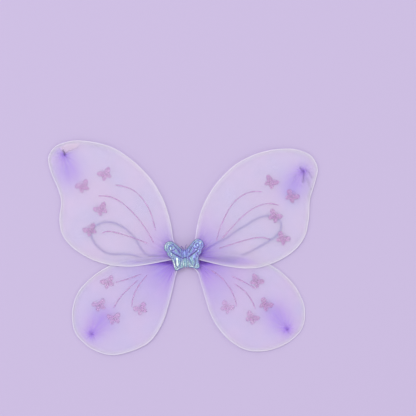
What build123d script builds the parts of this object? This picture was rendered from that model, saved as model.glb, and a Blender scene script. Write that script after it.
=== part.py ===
from build123d import *
import math
import os

# Butterfly costume wings lying on their back: +Z is up out of the decorated side,
# +Y is towards the tops of the upper wings, +X is to the right.
# The origin is the middle of the back pad's lower face. Millimetres.

# ---- driving dimensions ----
wire_d = 2.2  # coated steel wire of the wing loops
axis_x = 13.5  # fold axes, parallel to Y, either side of the hub
axis_z = 8.0
upper_root_z = 10.1  # height of the upper wings' plane at the middle
upper_slope = 0.031  # fall of that plane per millimetre outwards
lower_root_z = 6.8
lower_slope = 0.0257
skin_t = 1.0  # both layers of nylon together
skin_root_x = 24.0  # the skin's plane part starts here
gather_x = 19.0  # the pleated neck reaches in to here
fit_gap = 0.05  # between the skin and the wire
leg_y = 1.8  # the near leg leaves its fold axis this far above or below the middle
leg_step = (20.0, 1.2)  # the near leg reaches its wing's plane here, clear of the other
leg_z = {1: 9.7, -1: 6.2}  # and at these heights, upper and lower wings
far_leg_gap = 3.1  # straight wire past the ferrule's outer end

ferrule_d = 3.4
ferrule_y = (4.9, 12.4)
sleeve_d = 5.4
sleeve_y = (5.2, 12.1)
journal_gap = 0.06  # radial running clearance of the ferrule in its sleeve
wire_ends_gap = 0.6
crimp_gap = 0.02

pad_size = (34.0, 28.0)
pad_t = 3.0
core_size = (33.0, 24.4)
pad_corner = 6.0
pad_edge = 0.4
cover_top = 11.2
leg_notch = (7.5, 8.8)  # room for the near legs, from each side of the core and cover

strap_d = 2.8
tab_size = (4.0, 5.0, 2.9)

turn = 5.0  # the ornament sits turned on the hub
lobe_lean = 0.007  # sideways, for each mm down and each mm out from the seam
ornament_x = -1.2
seam_x = 4.5
seam_z = 13.2
rest_lift = 12.0  # the halves rise outwards from their seams, degrees
half_t = 5.0
film_t = 0.4
swell = 11.5  # the halves thin to the seam over this distance
seam_t = 0.5  # and to this thickness
glue_size = (24.0, 8.0)
body_size = (34.6, 7.6, 5.6)
body_y = 1.2
body_round = 2.4
body_z = 12.2
feeler_d = 1.0
feeler_z = 15.0

vein_w = 2.0
vein_t = 0.3
tuft_d = 3.4
tuft_h = 1.1
tie_d = 5.2
tie_h = 0.8

os.makedirs("parts", exist_ok=True)


def save(piece, name):
    """Label a finished piece and write it to its own file."""
    piece.part.label = name
    export_step(piece.part, f"parts/{name}.step")


def corner_radii(points, closed=False):
    """Largest tangent arc at each corner: 0.45 of the shorter run over tan(half turn)."""
    spots = [Vector(*p) for p in points]
    count = len(spots)
    radii = []
    for i in range(0 if closed else 1, count if closed else count - 1):
        run_in = spots[i] - spots[i - 1]
        run_out = spots[(i + 1) % count] - spots[i]
        half_turn = math.radians(run_in.get_angle(run_out)) / 2
        radii.append(0.45 * min(run_in.length, run_out.length) / math.tan(half_turn))
    return radii


# ---- wings ----
# Each outline is the corners that its smooth loop is rounded inside, as (distance out
# from the middle, height up the back). It runs from the leg at the top of the hub side,
# round the wing, and back to the leg at the bottom.
left_upper = [
    (24, 33), (29, 68), (40, 106), (61, 145), (95, 181), (135, 209),
    (175, 220), (212, 223), (245, 213), (260, 192), (254, 164), (239, 132),
    (232, 106), (238, 77), (233, 45), (213, 21), (177, -1), (142, -11),
    (104, -14), (70, -9), (32, -1.5),
]
right_upper = [
    (17.5, 31), (22, 66), (33, 103), (56, 141), (91, 177), (130, 197),
    (168, 206), (204, 207), (236, 195), (249, 171), (240, 138), (231, 110),
    (231, 78), (224, 42), (204, 16), (170, -5), (136, -16), (108, -17),
    (72, -12), (33, -2.6),
]
left_lower = [
    (32, 4.2), (65, 2.6), (102, -0.5), (133, -7), (170, -28), (203, -60),
    (215, -98), (210, -140), (179, -169), (140, -182), (103, -173), (68, -157),
    (44, -121), (30, -75), (19, -26),
]
right_lower = [
    (31, 8.2), (65, 8.4), (104, 7), (137, -2), (171, -18), (206, -50),
    (225, -93), (220, -132), (190, -159), (152, -173), (112, -172), (76, -149),
    (48, -110), (35, -66), (23, -24),
]

wings = {
    "left_upper": dict(side=-1, row=1, outline=left_upper),
    "right_upper": dict(side=1, row=1, outline=right_upper),
    "left_lower": dict(side=-1, row=-1, outline=left_lower),
    "right_lower": dict(side=1, row=-1, outline=right_lower),
}

# Lines of glitter glue, as (out, up) like the outlines, one list for each line.
veins = {
    "left_upper": [
        [(133, 139), (118, 137), (100, 131), (84, 117), (70, 97), (63, 78), (57, 54)],
        [(165, 118), (148, 119), (128, 112), (108, 96), (88, 75), (72, 52), (60, 30)],
        [(158, 48), (148, 53), (130, 50), (105, 42), (85, 35), (71, 29)],
    ],
    "right_upper": [
        [(143, 126), (126, 128), (103, 119), (84, 101), (72, 77), (63, 56), (57, 34)],
        [(175, 101), (154, 106), (128, 97), (105, 80), (85, 58), (67, 38)],
        [(158, 37), (141, 42), (115, 37), (90, 29), (62, 20)],
    ],
    "left_lower": [
        [(84, -28), (107, -37), (133, -44)],
        [(90, -39), (110, -57), (126, -74), (136, -92)],
        [(73, -30), (92, -53), (100, -74), (102, -90)],
    ],
    "right_lower": [
        [(47, -21), (66, -33), (83, -54), (93, -76), (95, -90)],
        [(92, -47), (111, -60), (124, -78), (130, -93)],
        [(86, -32), (108, -42), (131, -56)],
    ],
}

# Printed butterflies, as (out, up, turn of the head outwards in degrees).
prints = {
    "left_upper": [(152, 160, 27), (194, 137, 27), (160, 94, 30), (180, 55, 30)],
    "right_upper": [(160, 145, 33), (199, 118, 33), (167, 81, 33), (182, 39, 33)],
    "left_lower": [(147, -43, 25), (163, -86, 20), (135, -111, 12), (85, -93, 28)],
    "right_lower": [(133, -41, 35), (150, -85, 35), (124, -110, 33), (77, -90, 33)],
}
print_body = (0.9, 6.5)  # half width and half length
# One printed butterfly's wing ovals, as (across, along, lean, half width, half length).
print_lobes = [(7.2, 3.6, 58, 4.8, 6.6), (4.6, -5.8, -32, 4.1, 5.6)]

# Where the skin's outer end is gathered and tied behind the wing.
tufts = {
    "left_upper": (229, 196),
    "right_upper": (220, 165),
    "left_lower": (178, -141),
    "right_lower": (190, -132),
}


def wing_height(row, out):
    """Height of a wing's plane at a distance out from the middle."""
    if row > 0:
        return upper_root_z - upper_slope * out
    return lower_root_z - lower_slope * out


def wing_plane(wing, lift=0.0):
    """The wing's own plane, with its X across the body and its Y up the back."""
    slope = upper_slope if wing["row"] > 0 else lower_slope
    tilt = math.atan(slope) * wing["side"]
    height = wing_height(wing["row"], 0)
    normal = (math.sin(tilt), 0, math.cos(tilt))
    plane = Plane(origin=(0, 0, height), x_dir=(math.cos(tilt), 0, -math.sin(tilt)), z_dir=normal)
    return plane.offset(lift)


def flat_points(wing, points):
    """Points in the wing's plane, its X positive to the right."""
    return [(wing["side"] * out, up) for out, up in points]


def loop_route(wing):
    """Corners of the wire's loop, from one end inside the ferrule round to the other."""
    side, row = wing["side"], wing["row"]
    middle = sum(ferrule_y) / 2 * row
    near, far = leg_y * row, (ferrule_y[1] + far_leg_gap) * row
    legs = [(side * out, up, wing_height(row, out)) for out, up in wing["outline"]]
    rise = (side * leg_step[0], leg_step[1] * row, leg_z[row])
    journal_end = (side * axis_x, middle + wire_ends_gap / 2 * row, axis_z)
    journal_start = (side * axis_x, middle - wire_ends_gap / 2 * row, axis_z)
    corner_far = (side * axis_x, far, axis_z)
    corner_near = (side * axis_x, near, axis_z)
    if row > 0:
        return [journal_end, corner_far, *legs, rise, corner_near, journal_start]
    return [journal_start, corner_near, rise, *legs, corner_far, journal_end]


for name, wing in wings.items():
    side, row = wing["side"], wing["row"]
    route = loop_route(wing)
    radii = corner_radii(route)
    print(name, "smallest wire bend", round(min(radii), 1))

    with BuildPart() as wire:
        with BuildLine() as path:
            FilletPolyline(*route, radius=radii)
        with BuildSketch(Plane(origin=path.line @ 0, z_dir=path.line % 0)):
            Circle(wire_d / 2)
        sweep()
    print(name, "wire length", round(path.wire().length), "volume", round(wire.part.volume),
          "section x length", round(path.wire().length * math.pi * wire_d**2 / 4))
    save(wire, f"{name}_wire")

    # Crimped tube on the loop's straight hub side.
    with BuildPart() as ferrule:
        ends = Plane(origin=(side * axis_x, row * ferrule_y[0], axis_z), z_dir=(0, row, 0))
        with BuildSketch(ends):
            Circle(ferrule_d / 2)
            Circle(wire_d / 2 + crimp_gap, mode=Mode.SUBTRACT)
        extrude(amount=ferrule_y[1] - ferrule_y[0])
    save(ferrule, f"{name}_ferrule")

    # Skin: the plane inside the loop, from the pleated neck out.
    outline = [(x, y) for x, y, z in route[1:-1]]
    outline.remove((side * axis_x, leg_y * row))
    with BuildPart() as nylon:
        with BuildSketch(wing_plane(wing, -skin_t / 2)):
            with BuildLine():
                edge = FilletPolyline(*outline, radius=corner_radii(outline))
                Line(edge @ 1, edge @ 0)
            make_face()
            reach = max(abs(up) for out, up in wing["outline"])
            Rectangle(2 * skin_root_x, 2 * reach, mode=Mode.SUBTRACT)
        extrude(amount=skin_t)
        with BuildLine() as path:
            FilletPolyline(*route, radius=radii)
        with BuildSketch(Plane(origin=path.line @ 0, z_dir=path.line % 0)):
            Circle(wire_d / 2 + fit_gap)
        sweep(mode=Mode.SUBTRACT)
    print(name, "skin solids", len(nylon.part.solids()), "area", round(nylon.part.volume / skin_t))
    save(nylon, f"{name}_nylon")

    # Glitter glue lines, raised on the skin.
    with BuildPart() as glue:
        for vein in veins[name]:
            flat = flat_points(wing, vein)
            with BuildSketch(wing_plane(wing, skin_t / 2)):
                with BuildLine() as line:
                    FilletPolyline(*flat, radius=corner_radii(flat))
                trace(line_width=vein_w)
            extrude(amount=vein_t)
    save(glue, f"{name}_veins")

    # Printed butterflies: two large and two small wing ovals about a narrow body.
    with BuildPart() as flock:
        with BuildSketch(wing_plane(wing, skin_t / 2)):
            for out, up, head in prints[name]:
                spread = Location((side * out, up, 0), (0, 0, side * -head))
                with Locations(spread):
                    Ellipse(*print_body)
                for across, along, lean, half_width, half_length in print_lobes:
                    for hand in (-1, 1):
                        with Locations(spread * Location((hand * across, along, 0), (0, 0, -hand * lean))):
                            Ellipse(half_width, half_length)
        extrude(amount=vein_t)
    save(flock, f"{name}_butterflies")

    # Outer end of the skin, bunched behind the wing, and the thread round it.
    out, up = tufts[name]
    with BuildPart() as tuft:
        with BuildSketch(wing_plane(wing, -skin_t / 2)):
            with Locations((side * out, up)):
                Circle(tuft_d / 2)
        extrude(amount=-tuft_h)
    save(tuft, f"{name}_tip_tuft")
    with BuildPart() as tie:
        with BuildSketch(wing_plane(wing, -skin_t / 2)):
            with Locations((side * out, up)):
                Circle(tie_d / 2)
                Circle(tuft_d / 2, mode=Mode.SUBTRACT)
        extrude(amount=-tie_h)
    save(tie, f"{name}_tip_tie")

# Pleated necks, between the two legs of each loop, from the skin in towards the sleeves.
necks = {
    "left_upper": [(gather_x, 4), (gather_x, 18), (skin_root_x, 26), (skin_root_x, 3.2)],
    "right_upper": [(gather_x, 4), (gather_x, 28), (skin_root_x, 58), (skin_root_x, 3.2)],
    "left_lower": [(gather_x, -4), (gather_x, -19), (skin_root_x, -40), (skin_root_x, -3)],
    "right_lower": [(gather_x, -4), (gather_x, -14.5), (skin_root_x, -21.5), (skin_root_x, -3)],
}
for name, wing in wings.items():
    with BuildPart() as neck:
        with BuildSketch(wing_plane(wing, -skin_t)):
            with BuildLine():
                Polyline(*flat_points(wing, necks[name]), close=True)
            make_face()
        extrude(amount=2 * skin_t)
    save(neck, f"{name}_root_gather")

# ---- hub ----
with BuildPart() as pad:
    with BuildSketch():
        RectangleRounded(*pad_size, pad_corner)
    extrude(amount=pad_t)
    chamfer(pad.faces().sort_by(Axis.Z)[-1].edges(), pad_edge)
save(pad, "back_pad")

with BuildPart() as core:
    with BuildSketch(Plane.XY.offset(pad_t)):
        Rectangle(*core_size)
        with Locations((core_size[0] / 2, 0), (-core_size[0] / 2, 0)):
            Rectangle(2 * leg_notch[0], leg_notch[1], mode=Mode.SUBTRACT)
    extrude(amount=axis_z - pad_t)
    with BuildSketch(Plane.XZ.offset(-core_size[1] / 2)):
        with Locations((axis_x, axis_z), (-axis_x, axis_z)):
            Circle(sleeve_d / 2)
    extrude(amount=core_size[1], mode=Mode.SUBTRACT)
save(core, "hub_core")

with BuildPart() as cover:
    with BuildSketch(Plane.XY.offset(axis_z)):
        Rectangle(*core_size)
        with Locations((core_size[0] / 2, 0), (-core_size[0] / 2, 0)):
            Rectangle(2 * leg_notch[0], leg_notch[1], mode=Mode.SUBTRACT)
    extrude(amount=cover_top - axis_z)
    with BuildSketch(Plane.XZ.offset(-core_size[1] / 2)):
        with Locations((axis_x, axis_z), (-axis_x, axis_z)):
            Circle(sleeve_d / 2)
    extrude(amount=core_size[1], mode=Mode.SUBTRACT)
save(cover, "hub_cover")

for name, wing in wings.items():
    with BuildPart() as sleeve:
        start = Plane(origin=(wing["side"] * axis_x, wing["row"] * sleeve_y[0], axis_z),
                      z_dir=(0, wing["row"], 0))
        with BuildSketch(start):
            Circle(sleeve_d / 2)
            Circle(ferrule_d / 2 + journal_gap, mode=Mode.SUBTRACT)
        extrude(amount=sleeve_y[1] - sleeve_y[0])
    save(sleeve, f"{name}_sleeve")

# ---- shoulder straps ----
# Round elastic, lying on the surface under the upper wings, both ends sewn in at the hub.
left_route = [
    (-21, 4.5), (-37, 4.5), (-55, 6.6), (-74, 6.5), (-85, 20), (-94, 36), (-106, 51),
    (-122, 63), (-144, 71), (-167, 66), (-180, 51), (-175, 34), (-161, 17), (-142, 8),
    (-119, 9.6), (-99, 8.2), (-82, 1.2), (-61, 1.6), (-39, -4.0), (-21, -4.0),
]
right_route = [
    (21, 7.0), (31, 7.0), (40, 20), (54, 29), (68, 34.5), (82, 43), (97, 55), (113, 63),
    (131, 76), (151, 82), (171, 79), (181, 65), (175, 47), (157, 34), (138, 23),
    (118, 12), (102, 6), (82, 4.4), (62, 0), (40, -4.5), (21, -4.5),
]
strap_z = strap_d / 2
for name, route in (("left", left_route), ("right", right_route)):
    points = [(x, y, strap_z) for x, y in route]
    radii = corner_radii(points)
    with BuildPart() as strap:
        with BuildLine() as path:
            FilletPolyline(*points, radius=radii)
        with BuildSketch(Plane(origin=path.line @ 0, z_dir=path.line % 0)):
            Circle(strap_d / 2)
        sweep()
    print(name, "strap radii", [round(r) for r in radii], "length", round(path.wire().length),
          "volume", round(strap.part.volume), "of", round(path.wire().length * math.pi * strap_d**2 / 4))
    save(strap, f"{name}_strap")

    side = -1 if name == "left" else 1
    with BuildPart() as tabs:
        with BuildSketch(Plane.XY):
            for end in (route[0], route[-1]):
                with Locations((side * (pad_size[0] / 2 + tab_size[0] / 2), end[1])):
                    Rectangle(*tab_size[:2])
        extrude(amount=tab_size[2])
    save(tabs, f"{name}_strap_tabs")

# ---- ornament ----
frame = Plane(origin=(ornament_x, 0, 0), x_dir=(math.cos(math.radians(turn)),
              math.sin(math.radians(turn)), 0), z_dir=(0, 0, 1))

with BuildPart() as glue_pad:
    with BuildSketch(frame.offset(cover_top)):
        SlotOverall(*glue_size, rotation=90)
    extrude(amount=body_z - cover_top)
save(glue_pad, "glue_pad")

with BuildPart() as body:
    with BuildSketch(frame.offset(body_z)):
        with Locations((0, body_y)):
            SlotOverall(*body_size[:2], rotation=90)
    extrude(amount=body_size[2])
    fillet(body.faces().sort_by(Axis.Z)[-1].edges(), body_round)
save(body, "ornament_body")

# Half of the butterfly's outline to the right of its body, from the bottom of the seam
# round the small lower lobe, the waist and the large upper lobe to the top of the seam.
half_outline = [
    (4.9, -16.2), (12, -17.4), (20, -21.2), (25, -18), (25, -9), (25.6, -1), (28, 5),
    (33.6, 9.5), (34, 16), (38.8, 20), (39, 28), (33, 35.5), (24.5, 37), (16, 31),
    (9, 23.5), (4.9, 20.2),
]
for name, side in (("left", -1), ("right", 1)):
    # The half's plane, hinged up from the seam at its lower inner edge.
    seam = frame * Location((side * seam_x, 0, seam_z), (0, -side * rest_lift, 0))
    half_plane = Plane(seam)
    # The lower lobes of both halves lean the same way, more towards their outer corners.
    points = [(side * (x - seam_x) + max(0, -y) * (x - half_outline[0][0]) * lobe_lean, y)
              for x, y in half_outline]
    radii = corner_radii(points)

    def lobe(inset, low, high):
        """The half's outline shrunk by inset, between two heights over its plane."""
        with BuildPart() as slab:
            with BuildSketch(half_plane.offset(low)):
                with BuildLine():
                    edge = FilletPolyline(*points, radius=radii)
                    Line(edge @ 1, edge @ 0)
                make_face()
                if inset:
                    offset(amount=-inset, kind=Kind.INTERSECTION)
            extrude(amount=high - low)
            # It thins to the seam, so that the half can fold up beside the body.
            above = 2 * half_t
            with BuildSketch(Plane(half_plane.origin, x_dir=half_plane.x_dir, z_dir=-half_plane.y_dir)):
                with BuildLine():
                    Polyline((0, seam_t - inset), (side * swell, half_t - inset),
                             (side * swell, above), (0, above), close=True)
                make_face()
            extrude(amount=2 * body_size[0], both=True, mode=Mode.SUBTRACT)
        return slab

    back = lobe(0, 0, film_t)
    foam = lobe(film_t, film_t, half_t - film_t)
    front = lobe(0, film_t, half_t)
    with BuildPart() as front_film:
        add(front.part)
        add(foam.part, mode=Mode.SUBTRACT)
    save(back, f"ornament_{name}_back_film")
    save(foam, f"ornament_{name}_foam")
    save(front_film, f"ornament_{name}_front_film")

# Feelers, from the top of the ornament's body.
feelers = {
    "left": [(-1.6, 17.0), (-2.2, 20.5), (-3.8, 24.0), (-5.4, 25.6)],
    "right": [(1.6, 17.0), (1.7, 21.0), (2.6, 24.6), (4.6, 27.0)],
}
for name, route in feelers.items():
    with BuildPart() as feeler:
        with BuildLine(frame.offset(feeler_z)) as path:
            FilletPolyline(*route, radius=corner_radii([(x, y, 0) for x, y in route]))
        with BuildSketch(Plane(origin=path.line @ 0, z_dir=path.line % 0)):
            Circle(feeler_d / 2)
        sweep()
        add(body.part, mode=Mode.SUBTRACT)
    save(feeler, f"antenna_{name}")
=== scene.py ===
import functools
import math

import bmesh
import bpy
import numpy as np
from mathutils import Matrix, Vector
from mathutils.geometry import delaunay_2d_cdt


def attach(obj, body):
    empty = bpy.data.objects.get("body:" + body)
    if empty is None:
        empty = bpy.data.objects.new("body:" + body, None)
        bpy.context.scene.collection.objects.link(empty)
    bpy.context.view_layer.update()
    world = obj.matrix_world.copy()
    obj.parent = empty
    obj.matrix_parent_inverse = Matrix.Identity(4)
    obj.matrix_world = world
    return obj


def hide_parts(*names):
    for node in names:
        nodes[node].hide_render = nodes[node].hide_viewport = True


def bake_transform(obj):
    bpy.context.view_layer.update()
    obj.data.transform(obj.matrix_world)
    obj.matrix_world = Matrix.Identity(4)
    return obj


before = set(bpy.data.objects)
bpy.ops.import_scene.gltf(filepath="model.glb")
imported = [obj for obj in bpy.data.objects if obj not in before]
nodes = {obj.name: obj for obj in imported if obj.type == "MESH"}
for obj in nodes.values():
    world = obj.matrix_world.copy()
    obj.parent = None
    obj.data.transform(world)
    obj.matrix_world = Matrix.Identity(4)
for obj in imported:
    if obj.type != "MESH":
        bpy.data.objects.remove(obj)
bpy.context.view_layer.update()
mm = 0.001


# small helpers

def bell(away, width):
    # 1 at no distance, falling smoothly to nothing
    return np.exp(-(away / width) ** 2)


def spun(points, angle):
    # points in plan, turned clockwise about the origin
    return points @ np.array([[math.cos(angle), math.sin(angle)], [-math.sin(angle), math.cos(angle)]])


def bandFaces(rows, sides, loop=True):
    # four-sided faces between neighbouring rows of points
    return [(i * sides + j, i * sides + (j + 1) % sides,
             (i + 1) * sides + (j + 1) % sides, (i + 1) * sides + j)
            for i in range(rows - 1) for j in range(sides if loop else sides - 1)]


def endFaces(rows, sides):
    # the faces that close the first and the last ring
    return [tuple(range(sides))[::-1], tuple((rows - 1) * sides + j for j in range(sides))]


def turnedOver(faces):
    # the same faces, looking the other way
    return [(face[0], *face[:0:-1]) for face in faces]


def staggered(low, high, step):
    # an even grid of triangles over a box in plan
    rows = np.arange(low[1], high[1], step * 0.866)
    return np.array([(x + (j % 2) * step / 2, y) for j, y in enumerate(rows)
                     for x in np.arange(low[0], high[0], step)])


def gathered(bits):
    # several lists of points and faces as one of each
    verts, faces, total = [], [], 0
    for spots, around in bits:
        verts.append(spots)
        faces += [tuple(total + i for i in face) for face in around]
        total += len(spots)
    return np.vstack(verts), faces


def newObject(name, verts, faces, smooth=True):
    mesh = bpy.data.meshes.new(name)
    mesh.from_pydata([tuple(v) for v in verts], [], faces)
    mesh.update()
    if smooth:
        mesh.shade_smooth()
    obj = bpy.data.objects.new(name, mesh)
    bpy.context.scene.collection.objects.link(obj)
    return obj


def setAttribute(obj, name, values):
    layer = obj.data.attributes.new(name, "FLOAT", "POINT")
    layer.data.foreach_set("value", np.asarray(values, np.float32))


def finish(obj, material, body, replaced=()):
    if material:
        obj.data.materials.clear()
        obj.data.materials.append(material)
    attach(obj, body)
    if replaced:
        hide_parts(*replaced)


def applyModifiers(obj):
    # the evaluated result becomes the object's own plain mesh
    done = bpy.data.meshes.new_from_object(obj.evaluated_get(bpy.context.evaluated_depsgraph_get()))
    obj.modifiers.clear()
    obj.data = done
    return obj


def cleanNormals(obj, mergeAt=0.00001):
    bm = bmesh.new()
    bm.from_mesh(obj.data)
    bmesh.ops.remove_doubles(bm, verts=bm.verts, dist=mergeAt)
    bmesh.ops.recalc_face_normals(bm, faces=bm.faces)
    bm.to_mesh(obj.data)
    bm.free()
    return obj


# nodes and materials

def plug(tree, value, socket):
    if isinstance(value, bpy.types.NodeSocket):
        tree.links.new(value, socket)
    else:
        socket.default_value = value


def addNode(tree, kind, settings=None, **inputs):
    # inputs go by their names, or by their places as i0, i1 and so on
    node = tree.nodes.new(kind)
    for key, value in (settings or {}).items():
        setattr(node, key, value)
    for key, value in inputs.items():
        byPlace = key[0] == "i" and key[1:].isdigit()
        plug(tree, value, node.inputs[int(key[1:]) if byPlace else key])
    return node


class Shader:
    # a thin wrapper that keeps the node calls short
    def __init__(self, name):
        self.material = bpy.data.materials.new(name)
        self.material.use_nodes = True
        self.tree = self.material.node_tree
        self.main = self.tree.nodes["Principled BSDF"]

    def add(self, kind, settings=None, **inputs):
        return addNode(self.tree, kind, settings, **inputs)

    def put(self, **inputs):
        for key, value in inputs.items():
            plug(self.tree, value, self.main.inputs[key.replace("_", " ")])

    def place(self):
        return self.add("ShaderNodeTexCoord").outputs["Object"]

    def attribute(self, name):
        return self.add("ShaderNodeAttribute", {"attribute_name": name}).outputs["Fac"]

    def noise(self, scale, detail=2.0, rough=0.5, vector=None, stretch=None):
        vector = vector or self.place()
        if stretch:
            vector = self.add("ShaderNodeMapping", Vector=vector, Scale=stretch).outputs[0]
        return self.add("ShaderNodeTexNoise", Vector=vector, Scale=scale, Detail=detail,
                        Roughness=rough).outputs["Fac"]

    def wave(self, way, scale, vector=None, distortion=0.0):
        return self.add("ShaderNodeTexWave", {"bands_direction": way}, Vector=vector or self.place(),
                        Scale=scale, Distortion=distortion).outputs["Fac"]

    def cells(self, scale):
        return self.add("ShaderNodeTexVoronoi", Vector=self.place(), Scale=scale).outputs["Distance"]

    def math(self, kind, a, b=0.0, clamp=False):
        return self.add("ShaderNodeMath", {"operation": kind, "use_clamp": clamp}, i0=a, i1=b).outputs[0]

    def remap(self, value, low, high, toLow=0.0, toHigh=1.0):
        return self.add("ShaderNodeMapRange", {"clamp": True}, i0=value, i1=low, i2=high,
                        i3=toLow, i4=toHigh).outputs[0]

    def mix(self, fac, a, b, blend="MIX"):
        return self.add("ShaderNodeMix", {"data_type": "RGBA", "blend_type": blend},
                        i0=fac, i6=a, i7=b).outputs[2]

    def ramp(self, value, stops):
        node = self.add("ShaderNodeValToRGB", Fac=value)
        ramp = node.color_ramp
        while len(ramp.elements) < len(stops):
            ramp.elements.new(0.5)
        for element, (at, color) in zip(ramp.elements, stops):
            element.position = at
            element.color = color
        return node.outputs[0]

    def sheer(self, cover, passing):
        # lets light and sight through: cover is the cloth's share, passing the part it lets glow through
        painted = self.main.inputs["Base Color"].links[0].from_socket
        glow = self.add("ShaderNodeBsdfTranslucent", Color=painted)
        clear = self.add("ShaderNodeBsdfTransparent")
        cloth = self.add("ShaderNodeMixShader", i0=passing, i1=self.main.outputs[0], i2=glow.outputs[0])
        both = self.add("ShaderNodeMixShader", i0=cover, i1=clear.outputs[0], i2=cloth.outputs[0])
        plug(self.tree, both.outputs[0], self.tree.nodes["Material Output"].inputs["Surface"])

    def bump(self, height, strength=0.5, distance=0.0002):
        self.put(Normal=self.add("ShaderNodeBump", Strength=strength, Distance=distance,
                                 Height=height).outputs[0])


def rgb(r, g, b):
    # a colour as it looks on screen, 0 to 255, as Blender's linear values
    def linear(c):
        c = c / 255
        return c / 12.92 if c <= 0.04045 else ((c + 0.055) / 1.055) ** 2.4
    return (linear(r), linear(g), linear(b), 1.0)


def twoToneLook(name, pattern, dark, light, bump, roughness, **more):
    # one pattern makes the tones and is pressed in; bump is (strength, depth in metres)
    s = Shader(name)
    tones = pattern(s)
    s.put(Base_Color=s.mix(tones, rgb(*dark), rgb(*light)), Roughness=roughness, **more)
    s.bump(tones, *bump)
    return s.material


# stage, light and camera

stageLook = {
    "floorSize": 6.0,
    "floorGap": 0.2 * mm,
    "floorColor": rgb(192, 178, 212),
    "skyStrength": 0.90,
    "keyPower": 147.0,
    "keySize": 3.2,
    "keyPlace": (-1.5, 1.9, 6.6),
    "cameraAim": (0.0414, 0.0959),
    "cameraHeight": 4.0,
    "fieldWidth": 0.782,
}


def makeStage(look):
    half = look["floorSize"] / 2
    corners = [(x * half, y * half, -look["floorGap"]) for x, y in ((-1, -1), (1, -1), (1, 1), (-1, 1))]
    floor = newObject("floor", corners, [(0, 1, 2, 3)], smooth=False)
    paint = Shader("floorPaint")
    paint.put(Base_Color=look["floorColor"], Roughness=0.85, Specular_IOR_Level=0.1)
    floor.data.materials.append(paint.material)

    world = bpy.data.worlds.new("studio")
    world.use_nodes = True
    world.node_tree.nodes["Background"].inputs[0].default_value = (1.0, 0.99, 1.0, 1.0)
    world.node_tree.nodes["Background"].inputs[1].default_value = look["skyStrength"]
    bpy.context.scene.world = world

    lamp = bpy.data.lights.new("softbox", "AREA")
    lamp.energy = look["keyPower"]
    lamp.size = look["keySize"]
    key = bpy.data.objects.new("softbox", lamp)
    key.location = look["keyPlace"]
    key.rotation_euler = (-Vector(look["keyPlace"])).to_track_quat("-Z", "Y").to_euler()
    bpy.context.scene.collection.objects.link(key)

    lens = bpy.data.cameras.new("camera")
    lens.sensor_width = 36.0
    lens.lens = lens.sensor_width * look["cameraHeight"] / look["fieldWidth"]
    lens.clip_end = 20.0
    camera = bpy.data.objects.new("camera", lens)
    camera.location = (*look["cameraAim"], look["cameraHeight"])
    bpy.context.scene.collection.objects.link(camera)
    bpy.context.scene.camera = camera
    bpy.context.scene.view_settings.view_transform = "Standard"


makeStage(stageLook)
print("stage ready")


# shoulder straps

straps = {
    "diameter": 2.8 * mm,
    "left": [
        (-21, 4.5), (-37, 4.5), (-55, 6.6), (-74, 6.5), (-85, 20), (-94, 36), (-106, 51),
        (-122, 63), (-144, 71), (-167, 66), (-180, 51), (-175, 34), (-161, 17), (-142, 8),
        (-119, 9.6), (-99, 8.2), (-82, 1.2), (-61, 1.6), (-39, -4.0), (-21, -4.0),
    ],
    "right": [
        (21, 7.0), (31, 7.0), (40, 20), (54, 29), (68, 34.5), (82, 43), (97, 55), (113, 63),
        (131, 76), (151, 82), (171, 79), (181, 65), (175, 47), (157, 34), (138, 23),
        (118, 12), (102, 6), (82, 4.4), (62, 0), (40, -4.5), (21, -4.5),
    ],
    "length": {"left": 0.372, "right": 0.371},
}


def elasticLook():
    s = Shader("braidedElastic")
    # two crossing sets of slanted ribs, finer than a millimetre
    turned = s.add("ShaderNodeMapping", Vector=s.place(), Rotation=(0, 0, math.radians(90))).outputs[0]
    braid = s.math("MAXIMUM", *(s.wave("DIAGONAL", 520.0, way, 1.5) for way in (s.place(), turned)))
    tone = s.noise(60, 3)
    dark = s.mix(tone, rgb(84, 58, 158), rgb(98, 72, 172))
    s.put(Base_Color=s.mix(braid, dark, rgb(112, 88, 184)), Roughness=0.7, Sheen_Weight=0.2)
    s.bump(braid, 0.6, 0.0002)
    return s.material


def makeStrap(side, material):
    curve = bpy.data.curves.new(f"{side}Strap", "CURVE")
    curve.dimensions = "3D"
    line = curve.splines.new("NURBS")
    points = straps[side]
    line.points.add(len(points) - 1)
    for spot, (x, y) in zip(line.points, points):
        spot.co = (x * mm, y * mm, straps["diameter"] / 2, 1.0)
    line.order_u = 3
    line.use_endpoint_u = True
    line.resolution_u = 10
    curve.bevel_depth = straps["diameter"] / 2
    curve.bevel_resolution = 4
    strap = bpy.data.objects.new(f"{side}_strap_elastic", curve)
    bpy.context.scene.collection.objects.link(strap)
    finish(strap, material, "hub", [f"{side}_strap"])


elastic = elasticLook()
for side in ("left", "right"):
    makeStrap(side, elastic)
print("straps laid")


# wing skins

skin = {
    "wireRadius": 1.1,
    "over": 0.08,  # the nylon's height over the wire
    "plateHalf": 0.5,  # half of the plain plate's thickness
    "fitGap": 0.05,
    "edgeStep": 1.7,
    "gridStep": 3.0,
    "wrapAngles": (90, 60, 30, 0, -30, -60, -90),
    "rootReach": 62.0,
    "pleats": 30,
    "pleatHeight": 0.75,
    "knotReach": 30.0,
}
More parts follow.
